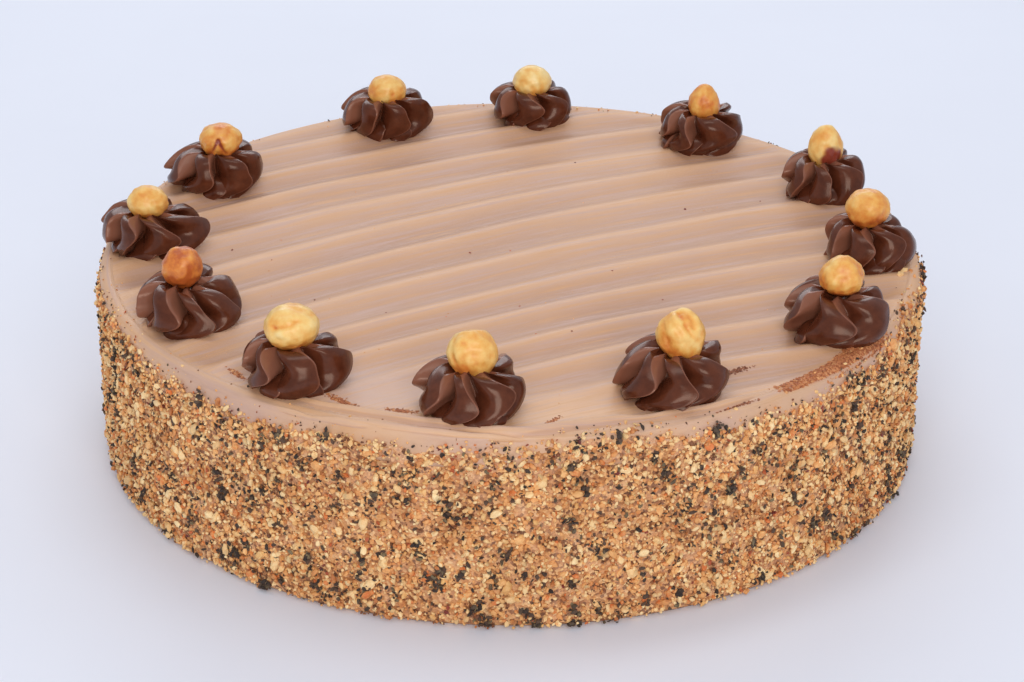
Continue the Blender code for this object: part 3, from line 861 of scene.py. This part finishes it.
def pipe_star(shape, form, levels, edges, middle, lean, half_width, dice):
    """Adds one twisted star to a bmesh, from its crown to its foot."""
    fold_reach = [dice.uniform(*FOLD_REACH) for _ in range(ROSETTE_FOLDS)]
    fold_lift = [dice.uniform(*FOLD_LIFT) * MM for _ in range(ROSETTE_FOLDS)]
    fold_turn = [dice.uniform(*FOLD_TURN) for _ in range(ROSETTE_FOLDS)]
    fold_wave = [dice.uniform(0, math.tau) for _ in range(ROSETTE_FOLDS)]
    sides = ROSETTE_FOLDS * len(FOLD_SECTION)
    made = bmesh.ops.create_uvsphere(shape, u_segments=sides, v_segments=levels, radius=1.0)
    lip = shape.verts.layers.float["lip"]
    for vertex in made["verts"]:
        down = math.acos(max(-1.0, min(1.0, vertex.co.z))) / math.pi
        side = round(math.atan2(vertex.co.y, vertex.co.x) / math.tau * sides) % sides
        height, across, depth, turned_by = between(form, down)
        fold, point = divmod(side, len(FOLD_SECTION))
        part, out = FOLD_SECTION[point]
        out = 1.0 - (1.0 - out) * depth
        opening = edges[fold - 1] - (360.0 if fold == 0 else 0.0)
        swing = across_fold(fold_turn, fold, part)
        degrees = opening + (edges[fold] - opening) * part + turned_by + swing * (height - 0.5)
        before = math.sin(FOLD_RIPPLES * height + fold_wave[fold - 1])
        after = math.sin(FOLD_RIPPLES * height + fold_wave[fold])
        wave = (before * (1.0 - part) + after * part) * depth
        degrees += RIPPLE_SWAY * wave
        reach = across_fold(fold_reach, fold, part)
        rough = noise.noise(Vector((fold * 3.1 + middle.x * 90, height * 3.0, part * 2.0)))
        ragged = 1.0 + FOLD_RAGGED * rough
        out_here = half_width * across * out * reach * ragged * (1.0 + RIPPLE_SWELL * wave)
        lift = across_fold(fold_lift, fold, part) - LIP_DROP * part ** 4
        level = ROSETTE_FOOT + ROSETTE_RISE * height + lift * height * across
        turn = math.radians(degrees)
        star = Vector((out_here * math.cos(turn), out_here * math.sin(turn), level))
        vertex.co = middle + lean * max(height, 0.0) ** 2 + star
        # Marks the thin lips, where the colour is painted lighter, partly as a painted highlight.
        vertex[lip] = smooth_step(0.90, 0.94, part) * depth


ganache = new_material("piped_ganache", 0.22)
ganache_shader = ganache.node_tree.nodes["Principled BSDF"]
ganache_shader.inputs["Specular IOR Level"].default_value = 0.38
ganache_shader.inputs["Specular Tint"].default_value = (1.0, 0.80, 0.68, 1.0)
ganache_place = object_place(ganache)
ganache_tone = ramp(ganache, mottle(ganache, ganache_place, 260.0, 5.0), [
    (0.3, paint(74, 34, 20)), (0.7, paint(98, 50, 31))])
# The thin lips are painted lighter: partly a lighter ganache edge, partly a painted highlight along them.
lip_tone_and_highlight = ramp(ganache, own_value(ganache, "lip"), [(0.0, grey(0.0)), (1.0, grey(0.6))])
ganache_tone = blend(ganache, lip_tone_and_highlight, ganache_tone, paint(158, 104, 82))
colour_by(ganache, ganache_tone)
bump_by(ganache, mottle(ganache, ganache_place, 1300.0, 3.0), 0.10, 0.15 * MM)

for number, (angle, reach, wide, right, behind, front) in enumerate(ROSETTES, 1):
    dice = random.Random(ROSETTE_SEED + number)
    turn = math.radians(angle)
    middle = Vector((math.cos(turn), math.sin(turn), 0.0)) * reach * MM
    lean = Vector((right, behind, 0.0)) * MM
    half_width = 0.5 * wide * MM
    edges = fold_edges(front)
    rosette_shape = bmesh.new()
    rosette_shape.verts.layers.float.new("lip")
    pipe_star(rosette_shape, ROSETTE_FORM, ROSETTE_LEVELS, edges, middle, lean, half_width, dice)
    foot_edges = [edge + dice.uniform(*FOOT_TURN) for edge in edges]
    pipe_star(rosette_shape, FOOT_FORM, FOOT_LEVELS, foot_edges, middle, lean, half_width, dice)
    bmesh.ops.recalc_face_normals(rosette_shape, faces=rosette_shape.faces)
    rosette = new_piece(f"ganache_rosette_{number:02d}", rosette_shape, ganache)
    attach(rosette, "root")
    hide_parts(f"rosette_{number:02d}")

# The hazelnuts: whole blanched kernels, roasted golden, one pressed into the crown of each
# rosette. They are wrinkled from the point down, and bits of red-brown skin still cling.
NUT_DETAIL = 5
FURROW_DEPTH = 0.10
FURROW_WIDTH = 0.09
NUT_SWELL = 0.05
NUT_KNOBS = 0.04
NUT_BASE_DENT = 0.08
# The patch of skin low on the front right of one nut: its middle as shares of the nut's box, how
# far it reaches, and how ragged its edge is.
SKIN_PLACE = Vector((0.66, 0.1, 0.30))
SKIN_REACH = 0.34
SKIN_RAGGED = 0.12
# The nuts whose furrows still hold their skin, by their numbers.
SKIN_IN_FURROWS = (12,)
# Each: how drawn out the point is, which way it leans in degrees to the right and to the
# front, how deep the wrinkles are, how roasted it is, and how much of a patch of skin clings.
HAZELNUTS = (
    (0.04, 10, 20, 0.030, 0.50, 0.0), (0.05, -8, 10, 0.020, 0.25, 0.0),
    (0.26, 0, 0, 0.020, 0.68, 0.0), (0.16, 5, 5, 0.030, 0.34, 1.0),
    (0.02, 60, 20, 0.030, 0.60, 0.0), (0.20, 4, 10, 0.050, 0.55, 0.0),
    (0.16, 150, 40, 0.040, 0.46, 0.0), (0.05, 170, 30, 0.018, 0.40, 0.0),
    (0.09, 78, 20, 0.030, 0.38, 0.0), (0.03, 30, 70, 0.020, 0.86, 0.0),
    (0.08, -20, 10, 0.030, 0.45, 0.0), (0.05, 0, 30, 0.040, 0.62, 0.0))
# The furrows that face the front on some of them, each from one place right and up to another.
FURROWS = {
    7: (((-0.13, 0.98), (0.50, 0.52)), ((0.10, 0.70), (0.62, 0.05))),
    9: (((-0.55, 0.35), (0.30, 0.62)),),
    12: (((0.0, 0.42), (-0.34, -0.43)), ((0.0, 0.42), (0.34, -0.43)))}


def furrow_at(spot, furrows):
    """How deep in a furrow a place on the front of a nut lies, from 0 to 1."""
    if spot.y > 0.0:
        return 0.0
    depth = 0.0
    for start, end in furrows:
        line = Vector(end) - Vector(start)
        offset = Vector((spot.x, spot.z)) - Vector(start)
        share = min(max(offset.dot(line) / line.length_squared, 0.0), 1.0)
        away = (offset - line * share).length
        depth = max(depth, math.exp(-(away / FURROW_WIDTH) ** 2) * (1.0 - 0.6 * share))
    return depth


nut_skin = new_material("roasted_hazelnut", 0.36)
nut_place = object_place(nut_skin)
nut_patch = work_out(nut_skin, "SUBTRACT", mottle(nut_skin, nut_place, 190.0, 6.0), 0.5)
# The roast value also carries painted shade, so the nuts turn darker orange in their wrinkles and furrows
# and on their undersides.
nut_patch = work_out(nut_skin, "MULTIPLY_ADD", nut_patch, 1.2, own_value(nut_skin, "roast"))
nut_tone = ramp(nut_skin, nut_patch, [
    (0.0, paint(250, 224, 160)), (0.30, paint(246, 204, 124)), (0.55, paint(238, 174, 86)),
    (0.80, paint(222, 132, 54)), (1.0, paint(186, 92, 38))])
nut_tone = blend(nut_skin, own_value(nut_skin, "cling"), nut_tone, paint(142, 58, 38))
colour_by(nut_skin, nut_tone)
bump_by(nut_skin, mottle(nut_skin, nut_place, 900.0), 0.3, 0.2 * MM)

for number, (point, right, forward, wrinkle, roast, cling) in enumerate(HAZELNUTS, 1):
    lowest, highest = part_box(f"hazelnut_{number:02d}")
    tip = Vector((math.sin(math.radians(right)), -math.sin(math.radians(forward)),
                  math.cos(math.radians(right)))).normalized()
    to_tip = Vector((0, 0, 1)).rotation_difference(tip).to_matrix()
    nut_shape = bmesh.new()
    bmesh.ops.create_icosphere(nut_shape, subdivisions=NUT_DETAIL, radius=1.0)
    roast_and_shade_layer = nut_shape.verts.layers.float.new("roast")
    cling_layer = nut_shape.verts.layers.float.new("cling")
    for vertex in nut_shape.verts:
        spot = vertex.co.copy()
        about = math.atan2(spot.y, spot.x)
        waist = math.hypot(spot.x, spot.y)
        line = Vector((math.cos(about) * 2.6, math.sin(about) * 2.6, spot.z * 0.7 + number * 3.0))
        crease = noise.noise(line) * waist
        fine = noise.noise(line * 2.7) * waist
        swell = noise.noise(spot * 1.3 + Vector((number, 0, 0)))
        knob = noise.noise(spot * 3.4 + Vector((0, number, 0)))
        radius = 1.0 + point * max(spot.z, 0.0) ** 6 + wrinkle * (crease * 1.6 + 0.7 * fine)
        radius += NUT_SWELL * swell + NUT_KNOBS * knob
        radius -= NUT_BASE_DENT * smooth_step(0.82, 1.0, -spot.z)
        seen = to_tip @ spot
        furrow = furrow_at(seen, FURROWS.get(number, ()))
        radius -= FURROW_DEPTH * furrow
        # Each nut's roast, plus painted shade in the wrinkles and furrows and on the underside, and paler
        # where the surface bulges out.
        vertex[roast_and_shade_layer] = (roast + 0.25 * max(-crease, 0.0) - 0.1 * swell - 0.12 * knob + 0.35 * furrow
                               + 0.40 * smooth_step(0.0, 0.9, -seen.z))
        vertex[cling_layer] = smooth_step(0.15, 0.7, furrow) if number in SKIN_IN_FURROWS else 0.0
        vertex.co = seen * radius
    low = Vector([min(vertex.co[axis] for vertex in nut_shape.verts) for axis in range(3)])
    high = Vector([max(vertex.co[axis] for vertex in nut_shape.verts) for axis in range(3)])
    for vertex in nut_shape.verts:
        share = [(vertex.co[axis] - low[axis]) / (high[axis] - low[axis]) for axis in range(3)]
        vertex.co = [start + (end - start) * part for start, end, part in zip(lowest, highest, share)]
        if cling:
            away = (Vector(share) - SKIN_PLACE).length
            edge = SKIN_REACH + SKIN_RAGGED * noise.noise(vertex.co * 400)
            vertex[cling_layer] = cling * (1.0 - smooth_step(0.7 * edge, edge, away))
    bmesh.ops.recalc_face_normals(nut_shape, faces=nut_shape.faces)
    nut = new_piece(f"roasted_hazelnut_{number:02d}", nut_shape, nut_skin)
    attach(nut, "root")
    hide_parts(f"hazelnut_{number:02d}")

# The crumbs on the cream: nut dust that the hand smeared on the rim when it pressed the coat on,
# short streaks of dust and ganache beside the rosettes, loose specks and a few kernel crumbs.
DUST_FLAKES = 2600
DUST_FIELD_DEGREES = (-60, -27)
DUST_FIELD_REACH = (119, 130)
LOOSE_SPECKS = 90
SPECK_FIELD = 126
CRUMB_JAG = 0.28
CRUMB_TIP = 0.3
# The forms of crumbs: the width and the thickness, as shares of the length.
SMEARED = ((0.6, 1.0), (0.15, 0.3))
SPECK = ((0.6, 0.9), (0.3, 0.5))
KERNEL = ((0.6, 0.9), (0.5, 0.7))
# The streaks, each with its seed, how many crumbs it has, its middle, length and width in
# millimetres, and how many degrees it leans.
DUST_STREAKS = (
    (71, 120, (-78.5, -91.5), 4.0, 0.9, -38), (72, 110, (12, -121.0), 3.6, 0.8, 50),
    (73, 220, (-47.8, -108.8), 6.0, 1.3, -40), (74, 140, (-30.5, -114.6), 4.5, 0.9, -14))
GANACHE_STREAKS = (
    (81, 170, (66.5, -87.5), 3.8, 0.8, 32), (82, 70, (54, -113.5), 5.0, 0.25, 24),
    (83, 110, (65, -110), 6.0, 0.35, 32))
# The plainest specks and the kernel crumbs, by their places in millimetres.
PLAIN_SPECKS = (
    (-88.8, -1.7), (-75.3, -11.7), (-12.9, -2.4), (-37.7, -47.6), (22, 70), (-59.9, -39.2), (57.6, 33.3),
    (83, 41), (18.6, -64.5), (7.8, -64.6), (47, -37), (3, -42), (32, -19), (0, -1))
KERNEL_CRUMBS = ((120, -13), (123.5, -17), (122, -21), (119.5, -16.5))


def scatter(name, seed, spots, sizes, form, finish):
    """Lays one kind of crumb on the cream, one at each spot."""
    dice = random.Random(seed)
    draw = np.random.default_rng(seed)
    chips = [rough_chip(dice, 1, *form, CRUMB_JAG) for _ in range(CHIP_KINDS)]
    laid = [on_cream(x, y) for x, y in spots]
    places = np.array([point for point, _ in laid])
    outward = np.array([direction for _, direction in laid])
    across = draw.uniform(*sizes, len(spots)) * MM
    piece = lay_chips(name, chips, places, outward, across, CRUMB_TIP, draw, finish)
    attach(piece, "root")
    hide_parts("cream_top")


def spots_round(seed, count, centre, length, width, lean):
    """Places strewn about a centre in millimetres, in a long patch that leans by some degrees."""
    dice = random.Random(seed)
    turn = math.radians(lean)
    spots = []
    for _ in range(count):
        along = dice.gauss(0, 0.5) * length
        aside = dice.gauss(0, 0.5) * width
        x = centre[0] + along * math.cos(turn) - aside * math.sin(turn)
        y = centre[1] + along * math.sin(turn) + aside * math.cos(turn)
        spots.append((x * MM, y * MM))
    return spots


def in_metres(places):
    return [(x * MM, y * MM) for x, y in places]


dust_dice = random.Random(61)
dust_spots = []
while len(dust_spots) < DUST_FLAKES:
    dust_turn = math.radians(dust_dice.uniform(*DUST_FIELD_DEGREES))
    dust_reach = dust_dice.uniform(*DUST_FIELD_REACH) * MM
    x = dust_reach * math.cos(dust_turn)
    y = dust_reach * math.sin(dust_turn)
    if dust_dice.random() < dust_on(x, y):
        dust_spots.append((x, y))
dust_tint = nut_finish("smeared_nut_dust", [
    (0.0, paint(150, 82, 46)), (0.4, paint(184, 108, 62)), (0.8, paint(206, 136, 86)),
    (1.0, paint(226, 168, 112))])
scatter("nut_dust_smear", 62, dust_spots, (0.5, 1.7), SMEARED, dust_tint)

streak_spots = [spot for streak in DUST_STREAKS for spot in spots_round(*streak)]
scatter("nut_dust_streaks", 75, streak_spots, (0.4, 1.1), SMEARED, dust_tint)

ganache_smear = nut_finish("smeared_ganache", [(0.0, paint(118, 66, 42)), (1.0, paint(176, 112, 76))])
ganache_spots = [spot for streak in GANACHE_STREAKS for spot in spots_round(*streak)]
scatter("ganache_streaks", 85, ganache_spots, (0.4, 1.1), SMEARED, ganache_smear)

scatter("nut_specks_named", 86, in_metres(PLAIN_SPECKS), (0.7, 1.3), SPECK, red_nut)
speck_dice = random.Random(87)
loose_spots = []
while len(loose_spots) < LOOSE_SPECKS:
    x = speck_dice.uniform(-SPECK_FIELD, SPECK_FIELD) * MM
    y = speck_dice.uniform(-SPECK_FIELD, SPECK_FIELD) * MM
    if math.hypot(x, y) < SPECK_FIELD * MM:
        loose_spots.append((x, y))
scatter("nut_specks_loose", 88, loose_spots, (0.35, 0.7), SPECK, tan_nut)
scatter("kernel_crumbs", 89, in_metres(KERNEL_CRUMBS), (2.2, 3.4), KERNEL, pale_nut)
